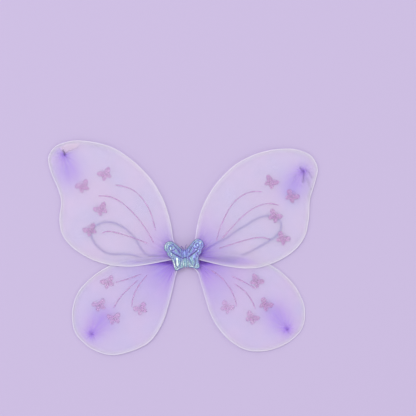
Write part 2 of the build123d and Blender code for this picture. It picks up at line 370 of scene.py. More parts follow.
# root and knot are where the nylon is gathered; neck is where the bag's two sides reach the hub
wings = {
    "left_upper": {
        "side": -1, "row": 1, "root": (-15, 7), "knot": (-229, 196), "neck": ((-19, 24.5), (-19, 1.5)),
        "dye": 0.42, "nearDye": 0.22, "dyeReach": 105, "baseDye": 0.02, "smear": (0.28, -0.96),
        "fold": [(-237, 210), (-224, 216.5), (-200, 217.5), (-201.9, 212.1), (-217.1, 202),
                 (-226.4, 198.5), (-231.4, 201.2)],
        "creases": [
            ([(-231.2, 204), (-228.5, 200), (-227.8, 195)], 1.5, 1.0),
            ([(-227.5, 199.3), (-214, 205), (-199.3, 212.4)], 1.2, 0.35),
            ([(-178.6, 217), (-173, 212), (-167.3, 208.7)], 1.0, 0.35),
            ([(-165.4, 213.4), (-160, 209), (-156, 207.7)], 1.0, 0.3),
            ([(-148.5, 210.6), (-144.8, 203)], 1.0, 0.3),
        ],
    },
    "right_upper": {
        "side": 1, "row": 1, "root": (15, 7), "knot": (220, 165), "neck": ((18.2, 35), (19, 1.5)),
        "dye": 0.5, "nearDye": 0.22, "dyeReach": 110, "baseDye": 0.02, "smear": (-0.55, -0.83),
        "creases": [
            ([(214.3, 171.1), (220.5, 165), (222, 157.9), (220, 144.8)], 1.6, 0.7),
            ([(225.6, 167.3), (233, 161), (236.9, 152.3)], 1.4, 0.5),
            ([(225.6, 152.3), (231, 142), (235, 129.7)], 1.4, 0.45),
            ([(229.4, 126), (233.5, 117), (235, 107.2)], 1.4, 0.4),
            ([(209, 160), (203, 150), (200, 139)], 1.3, 0.25),
        ],
    },
    "left_lower": {
        "side": -1, "row": -1, "root": (-15, -3), "knot": (-178, -141), "neck": ((-19, -25.5), (-19, -1.5)),
        "dye": 0.45, "nearDye": 0.24, "dyeReach": 150, "baseDye": 0.06, "smear": (0.6, 0.8),
        "creases": [([(-181, -137), (-178, -141), (-173, -144)], 1.3, 0.15)],
    },
    "right_lower": {
        "side": 1, "row": -1, "root": (15, -3), "knot": (190, -132), "neck": ((19, -20.3), (19, -1.5)),
        "dye": 0.45, "nearDye": 0.25, "dyeReach": 150, "baseDye": 0.06, "smear": (-0.6, 0.8),
        "creases": [([(186, -128), (190, -132), (194, -138)], 1.3, 0.15)],
    },
}


def wingPlane(name):
    # height over the floor as a + b x + c y, fitted to the plate's upper face
    spots = plateOutline(f"{name}_nylon")
    fit = np.linalg.lstsq(np.c_[np.ones(len(spots)), spots[:, :2]], spots[:, 2], rcond=None)[0]
    return fit - np.array([skin["plateHalf"] * mm, 0, 0])


def plateOutline(node):
    # the edge of a flat plate's upper face, in order
    bm = bmesh.new()
    bm.from_mesh(nodes[node].data)
    bmesh.ops.remove_doubles(bm, verts=bm.verts, dist=1e-6)
    bm.normal_update()
    up = max((f for f in bm.faces if f.normal.z > 0.5), key=lambda f: f.calc_area()).normal.copy()
    tops = {f for f in bm.faces if f.normal.dot(up) > 0.999}
    follow = {}
    for e in bm.edges:
        if sum(f in tops for f in e.link_faces) != 1:
            continue
        face = next(f for f in e.link_faces if f in tops)
        for loop in face.loops:
            if loop.edge == e:
                follow[loop.vert] = loop.link_loop_next.vert
    start = next(iter(follow))
    path, spot = [start], follow[start]
    while spot != start:
        path.append(spot)
        spot = follow[spot]
    out = np.array([v.co[:] for v in path])
    bm.free()
    return out


def resample(points, step, closed=False):
    pts = np.asarray(points, float)
    if closed:
        pts = np.vstack([pts, pts[:1]])
    along = np.r_[0, np.cumsum(np.linalg.norm(np.diff(pts, axis=0), axis=1))]
    count = max(2, int(round(along[-1] / step)))
    at = np.linspace(0, along[-1], count + 1)
    if closed:
        at = at[:-1]
    return np.stack([np.interp(at, along, pts[:, k]) for k in range(pts.shape[1])], axis=1)


def rounded(points, passes=3):
    # corner cutting, with both ends kept
    pts = np.asarray(points, float)
    for _ in range(passes):
        cut = np.empty((2 * len(pts) - 2, pts.shape[1]))
        cut[0::2] = 0.75 * pts[:-1] + 0.25 * pts[1:]
        cut[1::2] = 0.25 * pts[:-1] + 0.75 * pts[1:]
        pts = np.vstack([pts[:1], cut, pts[-1:]])
    return pts


def sideways(path):
    # unit normals of a line in plan, to its right
    along = np.gradient(path, axis=0)
    out = np.c_[along[:, 1], -along[:, 0]]
    return out / np.linalg.norm(out, axis=1)[:, None]


def outwards(path):
    # unit normals of an open loop in plan, pointing out of it
    out = sideways(path)
    middle = len(path) // 2
    return -out if inside(path[middle][None] + out[middle][None] * 3, path)[0] else out


def inside(points, polygon):
    x, y = points[:, 0], points[:, 1]
    hit = np.zeros(len(points), bool)
    for (ax, ay), (bx, by) in zip(polygon, np.roll(polygon, -1, axis=0)):
        if ay != by:
            hit ^= ((ay > y) != (by > y)) & (x < (bx - ax) * (y - ay) / (by - ay) + ax)
    return hit


def distanceTo(points, line, closed=True):
    # shortest distance from each point to a polyline
    line = np.asarray(line, float)
    best = np.full(len(points), 1e9)
    ends = np.roll(line, -1, axis=0) if closed else line[1:]
    for a, b in zip(line, ends):
        d = b - a
        t = np.clip(((points - a) @ d) / max(d @ d, 1e-12), 0, 1)
        best = np.minimum(best, np.linalg.norm(points - a - t[:, None] * d, axis=1))
    return best


def wireLine(name):
    # the wire's centre line in plan, in millimetres, from the hub round the wing to the hub
    plate = plateOutline(f"{name}_nylon")[:, :2] / mm
    cut = np.abs(plate[:, 0]).min()
    onCut = np.abs(np.abs(plate[:, 0]) - cut) < 0.05
    first = next(i for i in range(len(plate)) if onCut[i - 1] and not onCut[i])
    plate, onCut = np.roll(plate, -first, axis=0), np.roll(onCut, -first)
    ends = plate[onCut]
    rim = resample(np.vstack([ends[-1], plate[~onCut], ends[0]]), skin["edgeStep"])
    centre = rim + outwards(rim) * wireInset()
    far, near = (np.array(p, float) for p in wings[name]["neck"])
    if np.linalg.norm(far - centre[0]) > np.linalg.norm(far - centre[-1]):
        far, near = near, far
    return resample(np.vstack([far, centre, near]), skin["edgeStep"])


def wireInset():
    # from the plate's edge to the middle of the wire
    return math.sqrt((skin["wireRadius"] + skin["fitGap"]) ** 2 - skin["plateHalf"] ** 2)


def skinHeight(name, xy, front=True):
    # height over the wing's plane in millimetres, with pleats at the root and the knot
    wing = wings[name]
    rest = skin["wireRadius"] + skin["over"]
    hold = np.clip(distanceTo(xy, wing["line"], closed=False) / 7, 0, 1) ** 0.8
    away = xy - np.array(wing["root"])
    r = np.linalg.norm(away, axis=1)
    angle = np.arctan2(away[:, 1], np.abs(away[:, 0]))
    wobble = 0.5 * np.sin(angle * 9 + 1.3 * wing["row"]) + 0.3 * np.sin(angle * 17)
    fade = np.clip(1 - r / skin["rootReach"], 0, 1) ** 1.4
    pleat = np.cos(angle * skin["pleats"] + wobble * 2.2) * fade * np.clip((r - 8) / 24, 0.12, 1)
    slack = 0.22 * np.sin(xy[:, 0] / 23 + xy[:, 1] / 41) * np.sin(xy[:, 1] / 31 - xy[:, 0] / 57)
    away = xy - np.array(wing["knot"])
    k = np.linalg.norm(away, axis=1)
    turn = np.arctan2(away[:, 1], away[:, 0])
    pinch = 1 / (1 + (k / 5.5) ** 2)
    fold = np.cos(turn * 13 + 1.5 * np.sin(turn * 2)) * np.exp(-k / 11) * np.clip(k / 3.5, 0, 1)
    fold += 0.8 * np.cos(turn * 5 + 1) * np.exp(-k / 18) * np.clip(k / 6, 0, 1)
    rest *= 1 - 0.5 * hold * bell(r, 38)  # the two layers draw together at the root
    if not front:
        return -rest + hold * (0.45 * skin["pleatHeight"] * pleat + slack * 0.5 + 0.35 * pinch + 0.2 * fold)
    height = rest + hold * (skin["pleatHeight"] * pleat + slack - 1.5 * pinch + 0.42 * fold)
    for line, width, depth in wing["creases"]:
        d = distanceTo(xy, rounded(line), closed=False)
        height += hold * depth * 0.5 * (bell(d - 1.6 * width, width) - bell(d, width))
    return height


def skinDyeAndShade(name, xy):
    # where the nylon is bunched it shows its colour more strongly; on the lower wings it also holds painted
    # shade where the upper wing lies over them
    wing = wings[name]
    away = xy - np.array(wing["root"])
    r = np.linalg.norm(away, axis=1)
    angle = np.arctan2(away[:, 1], np.abs(away[:, 0]))
    root = wing["dye"] * np.clip(1 - r / wing["dyeReach"], 0, 1) ** 1.9
    root += wing["nearDye"] * bell(r, 30)
    root *= 1 + 0.26 * np.sin(angle * 31 + np.sin(angle * 7) * 2) * np.clip(1 - r / 80, 0, 1)
    # painted shade: the lower wing's colour is darkened and made denser where the upper wing lies over it
    if wing["row"] < 0:  # doubled where the upper wing lies over it
        root += 0.75 * np.clip((xy[:, 1] + 13) / 8, 0, 1) * np.clip(2.6 - np.abs(xy[:, 0]) / 60, 0, 1)
    knot = np.array(wing["knot"])
    inward = np.array(wing["smear"])
    away = xy - knot
    k = np.linalg.norm(away, axis=1)
    turn = np.arctan2(away[:, 1], away[:, 0])
    streak = 1 + 0.4 * np.cos(turn * 19 + 2 * np.sin(3 * turn)) * np.exp(-k / 25)
    core = 0.5 * np.exp(-k / 4) + 0.16 * bell(k, 16)
    for out in (20, 42):
        core += 0.16 * bell(np.linalg.norm(xy - knot - inward * out, axis=1), 25)
    return np.clip(wing["baseDye"] + root + core * streak, 0, 1.3)


def creaseShade(name, xy):
    shade = np.zeros(len(xy))
    for line, width, depth in wings[name]["creases"]:
        shade += depth * bell(distanceTo(xy, rounded(line), closed=False), width)
    return np.clip(shade, 0, 1)


def foldShade(name, xy):
    # where a flap of spare nylon lies double inside the edge
    flap = wings[name].get("fold")
    if not flap:
        return np.zeros(len(xy))
    depth = distanceTo(xy, flap) * np.where(inside(xy, np.array(flap)), 1, -1)
    return np.clip(depth / 4 + 0.5, 0, 1)


def onWing(name, xy, height):
    # points in plan and their heights over the wing's plane, as places in the row frame
    a, b, c = wings[name]["plane"]
    return np.c_[xy * mm, a + b * xy[:, 0] * mm + c * xy[:, 1] * mm + height * mm]


def sheetSeeds(name, polygon):
    # points for the skin: rings about the root and the knot, an even grid elsewhere
    wing = wings[name]
    root, knot = np.array(wing["root"], float), np.array(wing["knot"], float)
    seeds = [knot[None]]
    radius = 5.0
    while radius < skin["rootReach"]:
        count = 156 if radius > 14 else int(radius * math.pi / 0.8)
        turns = np.linspace(-math.pi / 2, math.pi / 2, count)
        seeds.append(root + radius * np.c_[wing["side"] * np.cos(turns), np.sin(turns)])
        radius += max(0.9, radius * 0.05)
    radius = 0.9
    while radius < skin["knotReach"]:
        count = int(np.clip(radius * 2 * math.pi / 0.7, 8, 84))
        turns = np.linspace(0, 2 * math.pi, count, endpoint=False)
        seeds.append(knot + radius * np.c_[np.cos(turns), np.sin(turns)])
        radius += max(0.7, radius * 0.07)
    grid = staggered(polygon.min(0), polygon.max(0), skin["gridStep"])
    far = (np.linalg.norm(grid - root, axis=1) > skin["rootReach"]) & \
        (np.linalg.norm(grid - knot, axis=1) > skin["knotReach"])
    seeds = np.vstack([*seeds, grid[far]])
    seeds = seeds[inside(seeds, polygon)]
    return seeds[distanceTo(seeds, polygon) > 0.75]


def triangulate(polygon, seeds):
    # points and triangles inside a polygon, and where the polygon's own points went
    count = len(polygon)
    flat = [Vector(p) for p in np.vstack([polygon, seeds])]
    ring = [(i, (i + 1) % count) for i in range(count)]
    verts, _, faces, origins, _, _ = delaunay_2d_cdt(flat, ring, [], 1, 1e-5)
    where = {}
    for i, sources in enumerate(origins):
        for s in sources:
            where[s] = i
    return np.array([v[:] for v in verts]), [tuple(f) for f in faces], where


def makeSkin(name, material):
    wing = wings[name]
    wing["plane"] = wingPlane(name)
    line = wing["line"] = wireLine(name)
    out = outwards(line)
    loop = line - out * wireInset()
    close = resample(np.array([loop[-1], loop[0]]), skin["edgeStep"])[1:-1]
    polygon = np.vstack([loop, close])
    xy, faces, where = triangulate(polygon, sheetSeeds(name, polygon))
    verts = [onWing(name, xy, skinHeight(name, xy)), onWing(name, xy, skinHeight(name, xy, front=False))]
    low = len(xy)
    meshFaces = faces + [tuple(low + i for i in reversed(f)) for f in faces]
    # round the wire, from the upper side to the lower one
    total, reach = 2 * low, skin["wireRadius"] + skin["over"]
    rows = [[where[i] for i in range(len(loop))]]
    for degrees in skin["wrapAngles"]:
        tilt = math.radians(degrees)
        level = np.full(len(line), reach * math.sin(tilt))
        verts.append(onWing(name, line + out * reach * math.cos(tilt), level))
        rows.append(list(range(total, total + len(line))))
        total += len(line)
    rows.append([low + i for i in rows[0]])
    for a, b in zip(rows, rows[1:]):
        for i in range(len(loop) - 1):
            meshFaces.append((a[i], b[i], b[i + 1], a[i + 1]))
    # the neck's inner end
    chain = [where[len(loop) - 1], *[where[len(loop) + i] for i in range(len(close))], where[0]]
    meshFaces.append(tuple(row[-1] for row in rows))
    meshFaces.append(tuple(row[0] for row in reversed(rows)))
    for a, b in zip(chain, chain[1:]):
        meshFaces.append((a, low + a, low + b, b))
    obj = cleanNormals(newObject(f"{name}_skin", np.vstack(verts), meshFaces), 1e-7)
    spots = np.array([v.co[:2] for v in obj.data.vertices]) / mm
    setAttribute(obj, "dye", skinDyeAndShade(name, spots))
    setAttribute(obj, "rim", np.clip(1 - distanceTo(spots, line, closed=False) / 7.5, 0, 1))
    setAttribute(obj, "crease", creaseShade(name, spots))
    setAttribute(obj, "fold", foldShade(name, spots))
    finish(obj, material, f"{name}_wing", [f"{name}_nylon", f"{name}_root_gather"])


def nylonLook():
    s = Shader("sheerNylon")
    dye, rim, crease, fold = (s.attribute(name) for name in ("dye", "rim", "crease", "fold"))
    cloud = s.noise(14, 3, 0.6)
    pale = s.mix(s.remap(cloud, 0.35, 0.65), rgb(243, 242, 255), rgb(253, 243, 254))
    tint = s.ramp(dye, [(0.0, (1, 1, 1, 1)), (0.4, rgb(213, 186, 255)), (0.8, rgb(174, 128, 246)),
                        (1.0, rgb(140, 96, 204))])
    tinted = s.mix(1.0, pale, tint, "MULTIPLY")
    edged = s.mix(s.math("MULTIPLY", rim, 0.6), tinted, rgb(242, 244, 238))
    edged = s.mix(s.math("MULTIPLY", fold, 0.7), edged, rgb(250, 236, 244))
    # painted shade: the creases are darkened towards deep violet
    color = s.mix(s.math("MULTIPLY", crease, 0.7), edged, rgb(98, 78, 128))
    # stocking knit: rows of small loops, under a millimetre apart
    weave = s.math("MULTIPLY", *(s.wave(way, 420.0, distortion=0.8) for way in "XY"))
    cover = 0.26
    for part, share in ((weave, 0.16), (dye, 0.24), (crease, 0.4), (fold, 0.2), (rim, 0.16)):
        cover = s.math("ADD", cover, s.math("MULTIPLY", part, share), clamp=True)
    s.put(Base_Color=color, Roughness=0.55, Specular_IOR_Level=0.3, Sheen_Weight=0.25, Sheen_Roughness=0.4)
    s.bump(weave, 0.25, 0.0001)
    s.sheer(cover, 0.4)
    return s.material


nylon = nylonLook()
for name in wings:
    makeSkin(name, nylon)
print("skins stretched")


# glitter glue: veins and printed butterflies

glitter = {
    "lineWidth": 1.45,
    "feelerWidth": 0.6,
    "lineHeight": 0.3,
    "gap": 0.02,  # between the skin and the glue
    "flakesPerMm2": 3.4,
    "flakeRadius": 0.34,
    "flakeThickness": 0.06,
    "tilt": 0.45,
    "seed": 7,
}
# each line as (out from the middle, up) in millimetres
veinLines = {
    "left_upper": [
        [(133, 139), (118, 137), (100, 131), (84, 117), (70, 97), (63, 78), (57, 54)],
        [(165, 118), (148, 119), (128, 112), (108, 96), (88, 75), (72, 52), (60, 30)],
        [(158, 48), (148, 53), (130, 50), (105, 42), (85, 35), (71, 29)],
    ],
    "right_upper": [
        [(143, 126), (126, 128), (103, 119), (84, 101), (72, 77), (63, 56), (57, 34)],
        [(175, 101), (154, 106), (128, 97), (105, 80), (85, 58), (67, 38)],
        [(158, 37), (141, 42), (115, 37), (90, 29), (62, 20)],
    ],
    "left_lower": [
        [(84, -28), (107, -37), (133, -44)],
        [(90, -39), (110, -57), (126, -74), (136, -92)],
        [(73, -30), (92, -53), (100, -74), (102, -90)],
    ],
    "right_lower": [
        [(47, -21), (66, -33), (83, -54), (93, -76), (95, -90)],
        [(92, -47), (111, -60), (124, -78), (130, -93)],
        [(86, -32), (108, -42), (131, -56)],
    ],
}
# each butterfly as (out, up, turn of its head outwards in degrees, how thickly it printed)
flocks = {
    "left_upper": [(152, 160, 27, 0.85), (194, 137, 27, 0.85), (160, 94, 30, 1.0), (180, 55, 30, 0.9)],
    "right_upper": [(160, 145, 33, 1.1), (199, 118, 33, 1.2), (167, 81, 33, 1.05), (182, 39, 33, 1.15)],
    "left_lower": [(147, -43, 25, 0.5), (163, -86, 20, 0.5), (135, -111, 12, 0.5), (85, -93, 28, 0.6)],
    "right_lower": [(133, -41, 35, 0.95), (150, -85, 35, 1.1), (124, -110, 33, 0.8), (77, -90, 33, 0.3)],
}
# one butterfly's lobes as (across, along, half width, half length, lean in degrees)
lobes = [
    (0, 0, 1.1, 6.0, 0), (-7.2, 3.6, 4.8, 6.6, 58), (7.2, 3.6, 4.8, 6.6, -58),
    (-4.6, -5.8, 4.1, 5.6, -32), (4.6, -5.8, 4.1, 5.6, 32),
]
feelerLine = [(0.5, 5.5), (1.6, 8.5), (3.4, 10.5)]


def wander(rng, count, step):
    # values that drift at random, one new draw to each step
    at = np.arange(0, count + 2 * step, step)
    return np.interp(np.arange(count), at, rng.normal(0, 1, len(at)))


def glueLine(points, width, parts):
    # a low flattened bead along a line in plan; parts collects (points in plan, lift, faces, grain)
    path = resample(rounded(points), 0.8)
    out, n = sideways(path), len(path)
    rng = np.random.default_rng(int(abs(points[0][0]) * 10))
    swell = 1 + 0.22 * wander(rng, n, 3)
    taper = np.clip(np.minimum(np.arange(n) + 1, np.arange(n)[::-1] + 1) / 5, 0.3, 1)
    half = width / 2 * np.clip(swell, 0.5, 1.5) * taper
    across = np.array([-1, -0.72, -0.3, 0.3, 0.72, 1, 0.3, -0.3])
    rise = np.array([0.06, 0.66, 1, 1, 0.66, 0.06, 0, 0]) * glitter["lineHeight"]
    xy = path[:, None, :] + out[:, None, :] * (half[:, None] * across)[:, :, None]
    k = len(across)
    gaps = np.clip(1 + 0.5 * wander(rng, n, 2), 0.15, 1.5)
    faces = bandFaces(n, k) + endFaces(n, k)
    parts.append((xy.reshape(-1, 2), np.tile(rise, n), faces, np.repeat(gaps, k)))


def printLobe(centre, turn, lobe, thick, seed, parts):
    # one oval of a butterfly print, slightly ragged at the edge
    x, y, a, b, lean = lobe
    rng = np.random.default_rng(seed)
    spokes, rings = 32, 7
    t = np.linspace(0, 2 * math.pi, spokes, endpoint=False)
    ragged = 1 + 0.07 * np.sin(3 * t + rng.uniform(0, 6)) + 0.05 * np.sin(7 * t + rng.uniform(0, 6))
    xy, rise = [], []
    for r in np.linspace(0.08, 1, rings):
        oval = np.c_[a * np.cos(t), b * np.sin(t)] * (r * ragged)[:, None]
        xy.append(oval)
        rise.append(np.full(spokes, glitter["lineHeight"] * 0.75 * (1 - 0.9 * r**4)))
    xy.append(xy[-1] * 0.97)
    rise.append(np.zeros(spokes))
    xy, rise = np.vstack(xy), np.hstack(rise)
    xy = spun(xy, math.radians(lean)) + (x, y)
    out = np.repeat(np.r_[np.linspace(0.08, 1, rings), 1], spokes)
    grain = 0.06 + 1.25 * bell(out - 0.88, 0.14) + 0.7 * bell(out - 0.34, 0.13)
    patchy = np.sin(xy[:, 0] * 2.3 + rng.uniform(0, 6))
    grain *= 0.75 + 0.8 * patchy * np.sin(xy[:, 1] * 2.1 + rng.uniform(0, 6))
    xy = spun(xy, turn) + centre
    faces = turnedOver(bandFaces(rings + 1, spokes))
    faces += [end[::-1] for end in endFaces(rings + 1, spokes)]
    parts.append((xy, rise, faces, np.clip(grain, 0.05, 1.4) * thick))


def glueBase(name, material):
    # every line and print of one wing, following the skin it lies on
    side, parts = wings[name]["side"], []
    for points in veinLines[name]:
        glueLine([(side * x, y) for x, y in points], glitter["lineWidth"], parts)
    for number, (x, y, turn, thick) in enumerate(flocks[name]):
        centre, turn = np.array([side * x, y]), math.radians(-side * turn)
        for which, lobe in enumerate(lobes):
            printLobe(centre, turn, lobe, thick, number * 10 + which, parts)
        for mirror in (-1, 1):
            feeler = spun(np.array(feelerLine) * (mirror, 1), turn) + centre
            glueLine(feeler, glitter["feelerWidth"], parts)
    bits = [(onWing(name, xy, skinHeight(name, xy) + glitter["gap"] + rise), faces)
            for xy, rise, faces, grain in parts]
    base = newObject(f"{name}_glue", *gathered(bits))
    setAttribute(base, "grain", np.hstack([grain for *_, grain in parts]))
    cleanNormals(base, 1e-8)
    finish(base, material, f"{name}_wing", [f"{name}_veins", f"{name}_butterflies"])
    return base


def startGroup(name, **sockets):
    # a Geometry Nodes tree with named inputs, the call that adds to it, and its input sockets
    tree = bpy.data.node_groups.new(name, "GeometryNodeTree")
    tree.interface.new_socket("Geometry", in_out="OUTPUT", socket_type="NodeSocketGeometry")
    for label, kind in {"Geometry": "Geometry", **sockets}.items():
        tree.interface.new_socket(label.replace("_", " "), in_out="INPUT", socket_type=f"NodeSocket{kind}")
    return tree, functools.partial(addNode, tree), tree.nodes.new("NodeGroupInput").outputs


def scatterTree():
    # flat flakes scattered over a surface's upper side, thicker where its grain is higher
    tree, add, given = startGroup("flakeScatter", Density="Float", Flake_Radius="Float",
                                  Flake_Thickness="Float", Tilt="Float", Seed="Int",
                                  Flake_Material="Material")
    grain = add("GeometryNodeInputNamedAttribute", {"data_type": "FLOAT"}, Name="grain").outputs[0]
    normal = add("GeometryNodeInputNormal").outputs[0]
    facing = add("ShaderNodeSeparateXYZ", Vector=normal).outputs["Z"]
    upper = add("FunctionNodeCompare", {"data_type": "FLOAT", "operation": "GREATER_THAN"},
                A=facing, B=0.35).outputs[0]
    dense = add("ShaderNodeMath", {"operation": "MULTIPLY"}, i0=grain, i1=given["Density"]).outputs[0]
    spots = add("GeometryNodeDistributePointsOnFaces", {"distribute_method": "RANDOM"},
                Mesh=given["Geometry"], Selection=upper, Density=dense, Seed=given["Seed"])
    flake = add("GeometryNodeMeshCylinder", {"fill_type": "NGON"}, Vertices=5, Radius=given["Flake Radius"],
                Depth=given["Flake Thickness"])
    low = add("ShaderNodeMath", {"operation": "MULTIPLY"}, i0=given["Tilt"], i1=-1.0).outputs[0]
    least = add("ShaderNodeCombineXYZ", X=low, Y=low, Z=0.0).outputs[0]
    most = add("ShaderNodeCombineXYZ", X=given["Tilt"], Y=given["Tilt"], Z=6.28).outputs[0]
    spin = add("FunctionNodeRandomValue", {"data_type": "FLOAT_VECTOR"}, i0=least, i1=most,
               Seed=3).outputs[0]
    swing = add("FunctionNodeEulerToRotation", Euler=spin).outputs[0]
    turned = add("FunctionNodeRotateRotation", {"rotation_space": "LOCAL"}, i0=spots.outputs["Rotation"],
                 i1=swing).outputs[0]
    scale = add("FunctionNodeRandomValue", {"data_type": "FLOAT"}, i2=0.55, i3=1.25, Seed=5).outputs[1]
    laid = add("GeometryNodeInstanceOnPoints", Points=spots.outputs["Points"],
               Instance=flake.outputs["Mesh"], Rotation=turned, Scale=scale).outputs[0]
    tone = add("FunctionNodeRandomValue", {"data_type": "FLOAT"}, i2=0.0, i3=1.0, Seed=9).outputs[1]
    toned = add("GeometryNodeStoreNamedAttribute", {"data_type": "FLOAT", "domain": "INSTANCE"},
                Geometry=laid, Name="tone", Value=tone).outputs[0]
    real = add("GeometryNodeRealizeInstances", Geometry=toned).outputs[0]
    done = add("GeometryNodeSetMaterial", Geometry=real, Material=given["Flake Material"]).outputs[0]
    add("NodeGroupOutput", Geometry=done)
    return tree


def grown(name, source, tree, **values):
    # the tree's result on a source mesh, as an object of its own
    obj = bpy.data.objects.new(name, source.data.copy())
    bpy.context.scene.collection.objects.link(obj)
    modifier = obj.modifiers.new("grow", "NODES")
    modifier.node_group = tree
    sockets = {item.name: item.identifier for item in tree.interface.items_tree if item.in_out == "INPUT"}
    for label, value in values.items():
        modifier[sockets[label.replace("_", " ")]] = value
    obj.update_tag()
    return applyModifiers(obj)


def glueLook():
    s = Shader("clearGlue")
    thick = s.remap(s.attribute("grain"), 0.1, 1.1)
    thin = s.mix(s.noise(900, 2), rgb(232, 196, 230), rgb(222, 184, 226))
    s.put(Base_Color=s.mix(thick, thin, rgb(190, 142, 198)), Roughness=0.35)
    cover = s.math("ADD", s.remap(s.noise(1500, 2), 0.3, 0.7, 0.1, 0.3), s.math("MULTIPLY", thick, 0.2))
    s.sheer(cover, 0.3)
    return s.material


def flakeLook():
    s = Shader("glitterFlakes")
    tone = s.attribute("tone")
    color = s.ramp(tone, [(0.0, rgb(184, 118, 178)), (0.3, rgb(228, 160, 216)),
                          (0.55, rgb(166, 120, 188)), (0.75, rgb(244, 202, 238)),
                          (0.88, rgb(164, 160, 196)), (1.0, rgb(255, 244, 255))])
    s.put(Base_Color=color, Metallic=0.35, Roughness=0.28, Specular_IOR_Level=0.6)
    return s.material


clearGlue, flakes = glueLook(), flakeLook()
scatter = scatterTree()
for number, name in enumerate(wings):
    base = glueBase(name, clearGlue)
    sparkle = grown(f"{name}_glitter", base, scatter, Density=glitter["flakesPerMm2"] / mm**2,
                    Flake_Radius=glitter["flakeRadius"] * mm,
                    Flake_Thickness=glitter["flakeThickness"] * mm,
                    Tilt=glitter["tilt"], Seed=glitter["seed"] + number, Flake_Material=flakes)
    finish(sparkle, flakes, f"{name}_wing")
    print(name, "glitter", len(sparkle.data.polygons), "faces")


# tubes, threads and ties

def tube(path, radii, sides, flat=1.0):
    # a tube along a path in space; flat squashes its section; returns verts and faces
    pts = np.asarray(path, float)
    radii = np.broadcast_to(np.asarray(radii, float), (len(pts),))
    along = np.gradient(pts, axis=0)
    along /= np.linalg.norm(along, axis=1)[:, None]
    up = np.array([0.0, 0.0, 1.0]) if abs(along[0][2]) < 0.9 else np.array([1.0, 0.0, 0.0])
    verts, turn = [], np.linspace(0, 2 * math.pi, sides, endpoint=False)
    for p, t, r in zip(pts, along, radii):
        up = up - t * (up @ t)
        up /= np.linalg.norm(up)
        right = np.cross(t, up)
        verts.append(p + r * (np.outer(np.cos(turn), right) + flat * np.outer(np.sin(turn), up)))
    return np.vstack(verts), bandFaces(len(pts), sides) + endFaces(len(pts), sides)


def joined(name, bits):
    return cleanNormals(newObject(name, *gathered(bits)), 1e-8)


ties = {
    "tuftRadius": 1.55,
    "tuftTop": 0.55,  # under the wing's plane
    "tuftDrop": 1.15,
    "folds": 11,
    "turns": 3.4,
    "ringRadius": 1.95,
    "ringTop": 0.75,
    "ringDrop": 0.55,
    "thread": 0.22,
}


def makeTie(name, cloth, thread):
    # the skin's outer end, bunched behind the wing, with thread wound round it
    knot = np.array(wings[name]["knot"], float)
    rings, spokes, verts = 9, 66, []
    turns = np.linspace(0, 2 * math.pi, spokes, endpoint=False)
    for level in np.linspace(0, 1, rings):
        waist = 1 - 0.22 * math.sin(math.pi * min(level * 1.3, 1)) + 0.35 * max(level - 0.7, 0)
        folded = ties["tuftRadius"] * waist * (1 + 0.16 * np.cos(ties["folds"] * turns + level))
        xy = knot + folded[:, None] * np.c_[np.cos(turns), np.sin(turns)]
        drop = -ties["tuftTop"] - ties["tuftDrop"] * level + 0.06 * np.cos(ties["folds"] * turns)
        verts.append(onWing(name, xy, drop))
    faces = bandFaces(rings, spokes) + [end[::-1] for end in endFaces(rings, spokes)]
    tuft = joined(f"{name}_bunched_tip", [(np.vstack(verts), faces)])
    finish(tuft, cloth, f"{name}_wing", [f"{name}_tip_tuft"])
    t = np.linspace(0, ties["turns"] * 2 * math.pi, 110)
    ring = ties["ringRadius"] + 0.28 * np.sin(t * 0.9)
    xy = knot + ring[:, None] * np.c_[np.cos(t), np.sin(t)]
    coil = onWing(name, xy, -ties["ringTop"] - ties["ringDrop"] * t / t[-1])
    winding = joined(f"{name}_tip_thread", [tube(coil, ties["thread"] * mm, 8)])
    finish(winding, thread, f"{name}_wing", [f"{name}_tip_tie"])


def bunchedLook():
    s = Shader("bunchedNylon")
    s.put(Base_Color=s.mix(s.noise(500, 3), rgb(148, 104, 214), rgb(186, 150, 238)), Roughness=0.6,
          Sheen_Weight=0.4)
    s.bump(s.noise(2500, 2), 0.4, 0.0001)
    return s.material


bunched = bunchedLook()
thread = twoToneLook("polyThread", lambda s: s.wave("DIAGONAL", 1400.0), (170, 140, 210), (206, 184, 236),
                     (0.5, 0.0001), 0.6, Sheen_Weight=0.3)
for name in wings:
    makeTie(name, bunched, thread)
print("ties wound")


# ornament: two puffy embossed halves about a ridged body

ornament = {
    "origin": (-1.2, 0.0),
    "turn": 5.0,
    "seamX": 4.5,
    "seamZ": 13.2,
    "lift": 12.0,
    "film": 0.4,
    "top": 4.55,
    "swell": 11.5,
    "seamTop": 0.55,
    "step": 0.5,
    "bead": 0.45,
}
# painted highlights: where the film's colour is raised to nearly white, as (points out from the body and
# up, width)
glints = {
    "left": [([(16.6, 3.5), (16.9, -10.5)], 1.7), ([(26.5, 21.5), (28.2, 19.5)], 1.3),
             ([(26.8, 10.5), (25.6, 8.5)], 1.2), ([(35.5, 27), (35.8, 24)], 0.9)],
    "right": [([(17.4, -13.4), (21, -15.2)], 0.8), ([(30.6, 30.5), (32.4, 28)], 0.8)],
}
